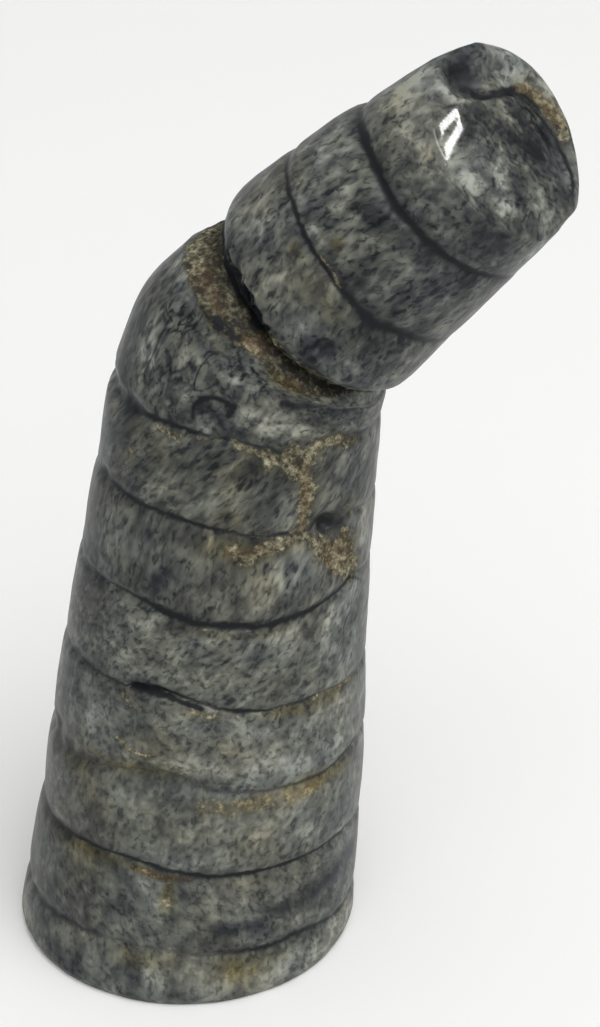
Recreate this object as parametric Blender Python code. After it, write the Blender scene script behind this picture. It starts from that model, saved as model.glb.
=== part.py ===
"""A polished orthoceras: a straight-shelled nautiloid turned to stone, standing on its sawn base.

The shell is one closed solid. Rings are laid along its axis, from the base up through seven
chambers to an old healed break, and on through the tilted upper part to the worn tip.
+Z is up, +X is the way the upper part leans, -Y is the front. The origin is the centre of the base.
"""
import math
from collections import namedtuple

import bmesh
import bpy
from mathutils import Vector, noise

MM = 0.001

# Cross-sections of the shell in mm and degrees. Each lies in a plane that rolls about Y (roll) and
# rises towards the back (pitch). Dip is how far its front sags below that plane.
Section = namedtuple("Section", "x y z roll pitch radius dip")
SAWN_BASE = Section(0.0, 0.0, 0.0, 0, 0, 21.6, 0)
FOOT = Section(0.0, 0.0, 0.8, 0, 0, 21.9, 0)
SUTURE_1 = Section(0.6, 0.2, 5.5, -2, -4, 21.4, -0.9)
SUTURE_2 = Section(2.1, 0.8, 17.6, -4, -4, 20.5, -0.4)
SUTURE_3 = Section(3.2, 1.4, 28.5, -5, -4, 19.9, -1.4)
SUTURE_4 = Section(4.3, 2.2, 40.9, -5, -4, 18.9, 0)
SUTURE_5 = Section(5.9, 3.2, 55.4, -4, -5, 17.9, 3.6)
SUTURE_6 = Section(7.2, 4.0, 65.0, -8, -4, 17.2, 1.2)
SUTURE_7 = Section(8.4, 4.5, 74.6, -9.5, -4, 16.6, -0.4)
WEDGE_LOW = Section(9.7, 4.7, 79.3, -15, -4, 16.2, 0)
WEDGE_HIGH = Section(10.6, 4.4, 82.1, -24, -4, 15.7, 0)
BREAK_FOOT = Section(12.8, 3.4, 85.4, -37, 3, 14.9, 0)
CREVICE = Section(14.8, 3.5, 87.3, -40, 8, 13.1, 0)
LIP_UNDER = Section(16.5, 3.4, 88.6, -41, 16, 14.0, 0)
LIP_EDGE = Section(17.6, 3.1, 89.6, -42, 17, 14.9, 0)
LIP_TOP = Section(19.1, 2.6, 91.2, -44, 17, 15.0, 0)
SUTURE_8 = Section(23.7, 1.5, 96.2, -46, 16, 14.4, 0)
SUTURE_9 = Section(31.3, 0.5, 103.5, -45, 12, 13.3, 0)
TIP_EDGE = Section(37.0, -1.2, 109.4, -45, 21, 12.3, 0)
TIP_FACE = Section(38.3, -0.8, 110.8, -45, 34, 11.3, 0)

# Runs of sections that flow smoothly into each other. Where one run meets the next is a corner.
RUNS = (
    (SAWN_BASE, FOOT),
    (FOOT, SUTURE_1, SUTURE_2, SUTURE_3, SUTURE_4, SUTURE_5, SUTURE_6, SUTURE_7,
     WEDGE_LOW, WEDGE_HIGH, BREAK_FOOT),
    (BREAK_FOOT, CREVICE),
    (CREVICE, LIP_UNDER, LIP_EDGE, LIP_TOP),
    (LIP_TOP, SUTURE_8, SUTURE_9, TIP_EDGE),
    (TIP_EDGE, TIP_FACE),
)
SUTURES = (SUTURE_1, SUTURE_2, SUTURE_3, SUTURE_4, SUTURE_5, SUTURE_6, SUTURE_7, SUTURE_8, SUTURE_9)

POINTS_AROUND = 52
GROOVE_STEPS = (0.0, 0.06, 0.14, 0.32, 0.5, 0.68, 0.86, 0.94)   # rings from one suture to the next
GROOVE_DEPTH = 0.45         # mm, of the channel along a suture
GROOVE_WIDTH = 0.9          # mm, half width
CHAMBER_BULGE = 0.2         # mm, how far a chamber swells between two sutures
PLAIN_STEP = 1.6            # mm between rings where there is no suture

# Bumps and pits of the sides: place along the axis from the base, angle around it (0 at +X, 90 at
# the back, 270 in front), half length, half width and height, in mm and degrees. Pits are below 0.
Bump = namedtuple("Bump", "along angle half_length half_width height")
BUMPS = (
    Bump(65.6, 309, 1.3, 1.7, -1.5),      # open hole where the forked crack crosses suture 6
    Bump(61.6, 315, 2.4, 2.4, -0.8),      # three-cornered flake lost below it
    Bump(67.6, 321, 1.2, 1.8, 0.35),      # the chip that stands proud beside the hole
    Bump(69.5, 298, 4.0, 1.1, -0.4),      # stem of the forked crack
    Bump(74.0, 285, 1.0, 3.0, -0.4),      # its left arm, along suture 7
    Bump(75.0, 304, 1.2, 2.6, -0.35),     # its right arm
    Bump(41.8, 245, 0.9, 3.0, -0.6),      # flaked hollow on suture 4
    Bump(14.9, 261, 1.6, 1.5, -0.45),     # small rusty pit under suture 2
    Bump(30.5, 246, 0.9, 4.5, -0.4),      # chipped edge of suture 3
    Bump(29.0, 196, 1.2, 2.5, -0.5),
    Bump(90.9, 228, 1.2, 3.2, -1.3),      # crevice open under the lip, in front
    Bump(90.4, 243, 1.1, 3.4, -1.3),
    Bump(87.7, 249, 1.2, 1.4, 0.7),       # lump of sediment left in the break
    Bump(90.0, 180, 1.6, 3.5, -0.6),      # notch at the left end of the break
    Bump(86.6, 152, 2.4, 6.0, -0.7),      # shoulder, worn lower at the back
    Bump(3.0, 128, 2.0, 4.0, -0.6),       # chip out of the base's rim, at the back
    Bump(36.0, 75, 2.6, 3.4, -0.5),       # worn flats and pits of the back
    Bump(61.0, 110, 1.5, 3.8, -0.45),
    Bump(107.5, 96, 1.8, 2.6, -0.4),
)
BREAK_LUMPS = 0.45          # mm, roughness of the sediment that fills the break
BREAK_GRAIN = 3.2           # mm, size of its lumps

# The worn end. Shares are of the end's radius, lengths are mm, angles are degrees.
END_RINGS = (0.96, 0.91, 0.85, 0.78, 0.7, 0.62, 0.52, 0.4, 0.26, 0.12)
END_DOME = 0.8              # how far the middle of the end stands above its edge
END_ROUND = 0.8             # height and width of the rounding of its edge
END_ROUND_WIDTH = 0.1
END_CORNER = 0.9            # how much further out the edge is left at its low end
END_CORNER_ANGLE = 356
END_CORNER_REACH = 30
RIM_HEIGHT = 1.1            # the next chamber's wall, left standing around the back of the end
RIM_ANGLE = 82              # its highest point
RIM_REACH = 88              # how far it runs to each side
RIM_CREST = 0.86            # where its crest lies
RIM_INNER_SLOPE = 0.2       # width of its inner slope, in the middle
RIM_OUTER_SLOPE = 0.22
RIM_TROUGH = 1.1            # the trough at its foot, below the dome
RIM_TROUGH_PLACE = 0.58
RIM_TROUGH_SPREAD = 0.3     # how much further out the trough lies at the rim's two ends
SHOULDER = 1.5              # how much is worn off the end's upper left edge
SHOULDER_ANGLE = 224
SHOULDER_REACH = 32
SHOULDER_INSIDE = 0.45      # where the wear begins on the end
SHOULDER_LENGTH = 7.0       # how far it runs down the side, mm
SHOULDER_SIDE_SHARE = 0.7   # how deep it is on the side, as a share of its depth on the end
EndSpot = namedtuple("EndSpot", "share angle size height")
END_SPOTS = (
    EndSpot(0.93, 148, 2.2, 1.0),         # lump of rim above the pit
    EndSpot(0.74, 172, 1.9, -1.8),        # pit beside the rim
    EndSpot(0.55, 162, 1.5, -1.0),        # the shallow trough that runs out of it
)

SHARP_ANGLE = 50            # degrees, at which an edge is shaded as a corner
STONE_COLOUR = (0.095, 0.1, 0.09, 1)
STONE_ROUGHNESS = 0.28


def spacing(first, second):
    """The distance between the centres of two sections, mm."""
    return math.dist(first[:3], second[:3])


def flow(run, index, share):
    """The section a share of the way along one span of a run, on a smooth curve through them all."""
    start, end = run[index], run[index + 1]
    before = run[index - 1] if index else start
    after = run[index + 2] if index + 2 < len(run) else end
    span = spacing(start, end)
    first_pull = span / (spacing(before, start) + span)
    last_pull = span / (span + spacing(end, after))
    s2, s3 = share ** 2, share ** 3
    return Section(*(
        (2 * s3 - 3 * s2 + 1) * b + (s3 - 2 * s2 + share) * (c - a) * first_pull
        + (3 * s2 - 2 * s3) * c + (s3 - s2) * (d - b) * last_pull
        for a, b, c, d in zip(before, start, end, after)))


def plane_of(section):
    """The two directions across a section, and the one that it faces."""
    roll, pitch = math.radians(section.roll), math.radians(section.pitch)
    across = Vector((math.cos(roll), 0, math.sin(roll)))
    back = Vector((0, math.cos(pitch), math.sin(pitch)))
    back = (back - back.dot(across) * across).normalized()
    return across, back, across.cross(back)


def surface_point(section, angle, raised, sunk=0.0):
    """A point of the shell at a section, raised off the plain cone and sunk along it by some mm."""
    across, back, facing = plane_of(section)
    outward = across * math.cos(angle) + back * math.sin(angle)
    sag = section.dip * (0.5 - 0.5 * math.sin(angle)) ** 2
    centre = Vector(section[:3])
    return centre + outward * (section.radius + raised) - facing * (sag + sunk)


def places_along():
    """Each section's distance from the base, along the axis."""
    places, total = {SAWN_BASE: 0.0}, 0.0
    for run in RUNS:
        for first, second in zip(run, run[1:]):
            total += spacing(first, second)
            places[second] = total
    return places


PLACES = places_along()
SUTURE_PLACES = [PLACES[suture] for suture in SUTURES]


def turn_between(angle, degrees):
    """The turn from a place given in degrees to an angle in radians, in degrees from -180 to 180."""
    return (math.degrees(angle) - degrees + 180) % 360 - 180


def swell(along):
    """The chambers' bulge and the channels of the sutures, mm."""
    raised = 0.0
    for low, high in zip(SUTURE_PLACES, SUTURE_PLACES[1:]):
        if low < along < high and low != PLACES[SUTURE_7]:
            raised += CHAMBER_BULGE * math.sin(math.pi * (along - low) / (high - low))
    for place in SUTURE_PLACES:
        raised -= GROOVE_DEPTH * math.exp(-((along - place) / GROOVE_WIDTH) ** 2)
    return raised


def sediment(along, angle):
    """Lumps of the sediment between the two parts, mm."""
    low, high = PLACES[BREAK_FOOT], PLACES[LIP_UNDER]
    if not low < along < high:
        return 0.0
    spot = Vector((math.cos(angle), math.sin(angle), 0)) * CREVICE.radius
    spot.z = along
    return BREAK_LUMPS * noise.noise(spot / BREAK_GRAIN) * math.sin(math.pi * (along - low) / (high - low))


def corner(angle):
    """How much further out the worn end's edge is at its low end, mm."""
    return END_CORNER * math.exp(-(turn_between(angle, END_CORNER_ANGLE) / END_CORNER_REACH) ** 2)


def shoulder(angle):
    """How much is worn off the end's edge, mm."""
    return SHOULDER * math.exp(-(turn_between(angle, SHOULDER_ANGLE) / SHOULDER_REACH) ** 2)


def wear(along, angle):
    """How far the side is worn down towards the shoulder of the end, mm."""
    reached = max(0.0, (along - PLACES[TIP_FACE] + SHOULDER_LENGTH) / SHOULDER_LENGTH)
    return shoulder(angle) * reached ** 2


def edge_raised(angle):
    """How far the worn end's edge stands off the plain cone, mm."""
    return corner(angle) - SHOULDER_SIDE_SHARE * shoulder(angle)


def relief(along, angle, radius):
    """How far the surface stands off the plain cone, mm."""
    raised = swell(along) + sediment(along, angle)
    for bump in BUMPS:
        aside = math.radians(turn_between(angle, bump.angle)) * radius / bump.half_width
        apart = (along - bump.along) / bump.half_length
        raised += bump.height * math.exp(-aside ** 2 - apart ** 2)
    start, end = PLACES[SUTURE_9], PLACES[TIP_FACE]
    if along > start:
        raised += corner(angle) * ((along - start) / (end - start)) ** 2
    return raised - SHOULDER_SIDE_SHARE * wear(along, angle)


def span_steps(first, second):
    """Where the rings of one span lie, as shares of it."""
    if first in SUTURES and second in SUTURES:
        return GROOVE_STEPS
    count = max(1, round(spacing(first, second) / PLAIN_STEP))
    return [step / count for step in range(count)]


def rings():
    """Every ring of the sides, from the base up: a section and its place along the axis."""
    for run in RUNS:
        for index, (first, second) in enumerate(zip(run, run[1:])):
            for share in span_steps(first, second):
                along = PLACES[first] + share * spacing(first, second)
                yield flow(run, index, share), along
    yield TIP_FACE, PLACES[TIP_FACE]


def end_spot(share, angle):
    """A place on the worn end, in mm from its centre."""
    reach = TIP_FACE.radius * share
    return Vector((reach * math.cos(angle), reach * math.sin(angle)))


def end_height(share, angle):
    """How far the worn end stands above its edge, mm: a dome, the rim behind it, a lump and a pit."""
    height = END_DOME * (1 - share ** 2)
    height += END_ROUND * (1 - math.exp((share - 1) / END_ROUND_WIDTH))
    turn = turn_between(angle, RIM_ANGLE) / RIM_REACH
    if abs(turn) < 1:
        width = RIM_INNER_SLOPE * math.sqrt(1 - abs(turn)) if share < RIM_CREST else RIM_OUTER_SLOPE
        slope = (share - RIM_CREST) / width
        foot = (share - RIM_TROUGH_PLACE - RIM_TROUGH_SPREAD * turn ** 2) / RIM_INNER_SLOPE
        height += (1 - turn ** 4) * RIM_HEIGHT * math.exp(-slope ** 2)
        height -= (1 - turn ** 4) * RIM_TROUGH * math.exp(-foot ** 2)
    if share > SHOULDER_INSIDE:
        height -= shoulder(angle) * ((share - SHOULDER_INSIDE) / (1 - SHOULDER_INSIDE)) ** 2
    for spot in END_SPOTS:
        apart = (end_spot(share, angle) - end_spot(spot.share, math.radians(spot.angle))).length
        height += spot.height * math.exp(-(apart / spot.size) ** 2)
    return height


def end_point(share, angle):
    """A point of the worn end, at a share of its radius."""
    across, back, facing = plane_of(TIP_FACE)
    outward = across * math.cos(angle) + back * math.sin(angle)
    reach = (TIP_FACE.radius + edge_raised(angle)) * share
    return Vector(TIP_FACE[:3]) + outward * reach + facing * end_height(share, angle)


def lay_ring(bm, ring, points):
    """Extrude the open ring of points and move the new one to its place."""
    edges = [bm.edges.get((a, b)) for a, b in zip(ring, ring[1:] + ring[:1])]
    made = set(bmesh.ops.extrude_edge_only(bm, edges=edges)["geom"])
    fresh = [next(e.other_vert(v) for e in v.link_edges if e.other_vert(v) in made) for v in ring]
    for vert, point in zip(fresh, points):
        vert.co = point * MM
    return fresh


def build_fossil():
    angles = [math.tau * step / POINTS_AROUND for step in range(POINTS_AROUND)]
    bm = bmesh.new()
    start = bmesh.ops.create_circle(bm, cap_ends=True, segments=POINTS_AROUND, radius=1.0)["verts"]
    ring = sorted(start, key=lambda v: math.atan2(v.co.y, v.co.x) % math.tau)
    laid = list(rings())
    for vert, angle in zip(ring, angles):
        vert.co = surface_point(SAWN_BASE, angle, 0) * MM
    for section, along in laid[1:]:
        points = [surface_point(section, a, relief(along, a, section.radius), wear(along, a))
                  for a in angles]
        ring = lay_ring(bm, ring, points)
    for share in END_RINGS:
        ring = lay_ring(bm, ring, [end_point(share, a) for a in angles])
    middle = bmesh.ops.contextual_create(bm, geom=ring)["faces"]
    bmesh.ops.poke(bm, faces=middle)
    bmesh.ops.recalc_face_normals(bm, faces=bm.faces)
    mesh = bpy.data.meshes.new("fossil")
    bm.to_mesh(mesh)
    bm.free()
    mesh.shade_smooth()
    mesh.set_sharp_from_angle(angle=math.radians(SHARP_ANGLE))
    fossil = bpy.data.objects.new("fossil", mesh)
    bpy.context.collection.objects.link(fossil)
    return fossil


def polished_limestone():
    material = bpy.data.materials.new("polished limestone")
    material.use_nodes = True
    shader = material.node_tree.nodes["Principled BSDF"]
    shader.inputs["Base Color"].default_value = STONE_COLOUR
    shader.inputs["Roughness"].default_value = STONE_ROUGHNESS
    shader.inputs["Metallic"].default_value = 0.0
    return material


for old in list(bpy.data.objects):
    bpy.data.objects.remove(old)
fossil = build_fossil()
fossil.data.materials.append(polished_limestone())
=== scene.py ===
import math
from collections import namedtuple

import bmesh
import bpy
import numpy as np
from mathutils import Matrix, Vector, noise


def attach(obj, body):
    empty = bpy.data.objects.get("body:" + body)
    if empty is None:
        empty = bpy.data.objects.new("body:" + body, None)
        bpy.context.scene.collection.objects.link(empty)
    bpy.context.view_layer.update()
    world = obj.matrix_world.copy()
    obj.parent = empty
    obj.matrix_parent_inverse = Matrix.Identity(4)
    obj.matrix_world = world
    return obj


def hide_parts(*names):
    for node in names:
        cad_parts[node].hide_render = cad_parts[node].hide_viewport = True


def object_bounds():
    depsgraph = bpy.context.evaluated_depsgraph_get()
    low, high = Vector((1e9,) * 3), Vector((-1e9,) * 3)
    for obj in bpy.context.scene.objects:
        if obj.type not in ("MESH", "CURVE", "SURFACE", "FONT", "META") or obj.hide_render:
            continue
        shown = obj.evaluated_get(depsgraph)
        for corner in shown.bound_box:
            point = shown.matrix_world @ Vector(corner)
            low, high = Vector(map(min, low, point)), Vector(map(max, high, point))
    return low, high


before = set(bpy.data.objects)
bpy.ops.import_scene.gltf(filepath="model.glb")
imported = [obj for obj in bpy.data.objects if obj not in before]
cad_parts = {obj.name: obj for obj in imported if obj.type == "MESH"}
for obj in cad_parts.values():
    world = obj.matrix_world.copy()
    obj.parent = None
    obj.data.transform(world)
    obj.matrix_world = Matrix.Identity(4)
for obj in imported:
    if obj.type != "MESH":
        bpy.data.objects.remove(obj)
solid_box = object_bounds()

# The fossil. A straight-shelled nautiloid, its chambers filled and turned to grey limestone, cut
# off square at the wide end, ground smooth and polished. It is one stone: the old break under its
# upper part is cemented by brown sediment. It is turned from a plain blank, ring by ring.
MM = 0.001
Section = namedtuple("Section", "x y z roll pitch radius dip")
SAWN_BASE = Section(0.0, 0.0, 0.0, 0, 0, 21.6, 0)
FOOT = Section(0.0, 0.0, 0.8, 0, 0, 21.9, 0)
SUTURE_1 = Section(0.6, 0.2, 5.5, -2, -4, 21.4, -0.9)
SUTURE_2 = Section(2.1, 0.8, 17.6, -4, -4, 20.5, -0.4)
SUTURE_3 = Section(3.2, 1.4, 28.5, -5, -4, 19.9, -1.4)
SUTURE_4 = Section(4.3, 2.2, 40.9, -5, -4, 18.9, 0)
SUTURE_5 = Section(5.9, 3.2, 55.4, -4, -5, 17.9, 3.6)
SUTURE_6 = Section(7.2, 4.0, 65.0, -8, -4, 17.2, 1.2)
SUTURE_7 = Section(8.4, 4.5, 74.6, -9.5, -4, 16.6, -0.4)
WEDGE_LOW = Section(9.7, 4.7, 79.3, -15, -4, 16.2, 0)
WEDGE_HIGH = Section(10.6, 4.4, 82.1, -24, -4, 15.7, 0)
BREAK_FOOT = Section(12.8, 3.4, 85.4, -37, 3, 14.9, 0)
CREVICE = Section(14.8, 3.5, 87.3, -40, 8, 13.1, 0)
LIP_UNDER = Section(16.5, 3.4, 88.6, -41, 16, 14.0, 0)
LIP_EDGE = Section(17.6, 3.1, 89.6, -42, 17, 14.9, 0)
LIP_TOP = Section(19.1, 2.6, 91.2, -44, 17, 15.0, 0)
SUTURE_8 = Section(23.7, 1.5, 96.2, -46, 16, 14.4, 0)
SUTURE_9 = Section(31.3, 0.5, 103.5, -45, 12, 13.3, 0)
TIP_EDGE = Section(37.0, -1.2, 109.4, -45, 21, 12.3, 0)
TIP_FACE = Section(38.3, -0.8, 110.8, -45, 34, 11.3, 0)
RUNS = (
    (SAWN_BASE, FOOT),
    (FOOT, SUTURE_1, SUTURE_2, SUTURE_3, SUTURE_4, SUTURE_5, SUTURE_6, SUTURE_7,
     WEDGE_LOW, WEDGE_HIGH, BREAK_FOOT),
    (BREAK_FOOT, CREVICE),
    (CREVICE, LIP_UNDER, LIP_EDGE, LIP_TOP),
    (LIP_TOP, SUTURE_8, SUTURE_9, TIP_EDGE),
    (TIP_EDGE, TIP_FACE),
)
SUTURES = (SUTURE_1, SUTURE_2, SUTURE_3, SUTURE_4, SUTURE_5, SUTURE_6, SUTURE_7, SUTURE_8, SUTURE_9)

POINTS_AROUND = 230
FRONT_CROWD = 0.35          # how much closer the points stand at the front, with its many marks
FRONT_ANGLE = 270
PLAIN_STEP = 0.45           # mm between rings
FINE_STEP = 0.2             # mm, near sutures and in the break
FINE_REACH = 1.3            # mm to each side of a suture
BASE_SHARES = (0.98, 0.94, 0.85, 0.65, 0.4, 0.22, 0.14, 0.115, 0.09, 0.05)
END_SHARES = [1 - 0.025 * step for step in range(1, 39)] + [0.02]


def spacing(first, second):
    return math.dist(first[:3], second[:3])


def flow(run, index, share):
    """The section a share of the way along one span of a run, on a smooth curve through all."""
    start, end = run[index], run[index + 1]
    before = run[index - 1] if index else start
    after = run[index + 2] if index + 2 < len(run) else end
    span = spacing(start, end)
    first_pull = span / (spacing(before, start) + span)
    last_pull = span / (span + spacing(end, after))
    s2, s3 = share ** 2, share ** 3
    return Section(*(
        (2 * s3 - 3 * s2 + 1) * b + (s3 - 2 * s2 + share) * (c - a) * first_pull
        + (3 * s2 - 2 * s3) * c + (s3 - s2) * (d - b) * last_pull
        for a, b, c, d in zip(before, start, end, after)))


places, length = {SAWN_BASE: 0.0}, 0.0
for run in RUNS:
    for first, second in zip(run, run[1:]):
        length += spacing(first, second)
        places[second] = length
suture_places = [places[suture] for suture in SUTURES]


def ring_step(along):
    """How far the next ring lies, mm: rings crowd where the surface has its detail."""
    in_break = places[BREAK_FOOT] - 2 < along < places[LIP_TOP]
    at_suture = any(abs(along - place) < FINE_REACH for place in suture_places)
    return FINE_STEP if in_break or at_suture or along < 1.5 else PLAIN_STEP


sections, ring_places = [], []
for run in RUNS:
    for index, (first, second) in enumerate(zip(run, run[1:])):
        span, done = spacing(first, second), 0.0
        while done < span - 0.05:
            sections.append(flow(run, index, done / span))
            ring_places.append(places[first] + done)
            done += ring_step(places[first] + done)
sections.append(TIP_FACE)
ring_places.append(length)

# The blank: a line spun about the axis. Its height counts the rings, its width is the share of
# the radius, so that each of its points knows where on the shell it belongs.
last_ring = len(sections) - 1
line = [(0, 0)] + [(share, 0) for share in reversed(BASE_SHARES)]
line += [(1, ring) for ring in range(last_ring + 1)]
line += [(share, last_ring) for share in END_SHARES] + [(0, last_ring)]
blank = bmesh.new()
dots = [bmesh.ops.create_vert(blank, co=(share, 0, ring))["vert"][0] for share, ring in line]
edges = [bmesh.ops.contextual_create(blank, geom=pair)["edges"][0] for pair in zip(dots, dots[1:])]
bmesh.ops.spin(blank, geom=dots + edges, cent=(0, 0, 0), axis=(0, 0, 1), angle=math.tau,
               steps=POINTS_AROUND, use_merge=True)
bmesh.ops.remove_doubles(blank, verts=blank.verts, dist=0.0001)
bmesh.ops.recalc_face_normals(blank, faces=blank.faces)
mesh = bpy.data.meshes.new("fossil_stone")
blank.to_mesh(mesh)
blank.free()

count = len(mesh.vertices)
flat = np.empty(count * 3)
mesh.vertices.foreach_get("co", flat)
turned = flat.reshape(-1, 3)
ring_index = np.rint(turned[:, 2]).astype(int)
share = np.hypot(turned[:, 0], turned[:, 1])
angle = np.arctan2(turned[:, 1], turned[:, 0])
angle -= FRONT_CROWD * np.sin(angle - math.radians(FRONT_ANGLE))

# Where each point of the blank belongs: its ring's section, and its place in that plane.
laid = np.array([tuple(section) for section in sections])[ring_index]
along = np.array(ring_places)[ring_index]
degrees = np.degrees(angle) % 360
roll, pitch = np.radians(laid[:, 3]), np.radians(laid[:, 4])
across = np.stack([np.cos(roll), np.zeros(count), np.sin(roll)], axis=1)
back = np.stack([np.zeros(count), np.cos(pitch), np.sin(pitch)], axis=1)
back -= (back * across).sum(axis=1, keepdims=True) * across
back /= np.linalg.norm(back, axis=1, keepdims=True)
facing = np.cross(across, back)
outward = across * np.cos(angle)[:, None] + back * np.sin(angle)[:, None]
radius = laid[:, 5]
on_side = share > 0.999
on_end = (share < 0.999) & (ring_index == last_ring)
on_base = (share < 0.999) & (ring_index == 0)
end_x = TIP_FACE.radius * share * np.cos(angle)
end_y = TIP_FACE.radius * share * np.sin(angle)
cone = np.stack([radius * share * np.cos(angle), radius * share * np.sin(angle), along], axis=1)


def lumps(size, seed):
    """Smooth lumps of a size in mm, from about -1 to 1, at every point."""
    shift = Vector((seed * 7.3, seed * 3.1, seed * 5.7))
    return np.array([noise.noise(Vector(spot) / size + shift) for spot in cone])


# Nothing in the stone has a ruled edge, so every mark and pit strays a little, in mm.
stray_along = 0.45 * lumps(3.5, 1) + 0.25 * lumps(1.2, 2) + 0.12 * lumps(0.5, 3)
stray_around = 0.45 * lumps(3.5, 4) + 0.25 * lumps(1.2, 5) + 0.12 * lumps(0.5, 6)


def turn_from(around):
    """The turn from an angle around the shell, in degrees from -180 to 180."""
    return (degrees - around + 180) % 360 - 180


def patch(place, around, half_length, half_width):
    """A soft patch on the side: mm along, degrees around, and its half sizes in mm."""
    aside = (np.radians(turn_from(around)) * radius + stray_around) / half_width
    apart = (along + stray_along - place) / half_length
    return np.exp(-aside ** 2 - apart ** 2) * on_side


def end_patch(reach, around, size):
    """A soft patch on the worn end, at a share of its radius and degrees around."""
    reach *= TIP_FACE.radius
    apart = np.hypot(end_x - reach * math.cos(math.radians(around)) + 0.4 * stray_along,
                     end_y - reach * math.sin(math.radians(around)) + 0.4 * stray_around)
    return np.exp(-(apart / size) ** 2) * on_end


def reach_to(aside, apart, run_aside, run_apart):
    """The distance to a straight run, from each point's offsets from its start."""
    part = (aside * run_aside + apart * run_apart) / (run_aside ** 2 + run_apart ** 2 + 1e-9)
    part = np.clip(part, 0, 1)
    return np.hypot(aside - part * run_aside, apart - part * run_apart)


def stroke(width, *points):
    """A soft line of a half width in mm on the side, through (mm along, degrees around)."""
    nearest = np.full(count, 99.0)
    for (low, start), (high, stop) in zip(points, points[1:]):
        aside = np.radians(turn_from(start)) * radius + stray_around
        run_aside = math.radians((stop - start + 180) % 360 - 180) * radius
        apart = along + stray_along - low
        nearest = np.minimum(nearest, reach_to(aside, apart, run_aside, high - low))
    return np.exp(-(nearest / width) ** 2) * on_side


def end_stroke(width, *points):
    """A soft line of a half width in mm on the worn end, through (share of radius, degrees)."""
    spots = [TIP_FACE.radius * reach * np.array((math.cos(math.radians(around)),
                                                 math.sin(math.radians(around))))
             for reach, around in points]
    nearest = np.full(count, 99.0)
    for start, stop in zip(spots, spots[1:]):
        run = stop - start
        nearest = np.minimum(nearest, reach_to(end_x - start[0] + 0.35 * stray_along,
                                               end_y - start[1] + 0.35 * stray_around, *run))
    return np.exp(-(nearest / width) ** 2) * on_end


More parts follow.
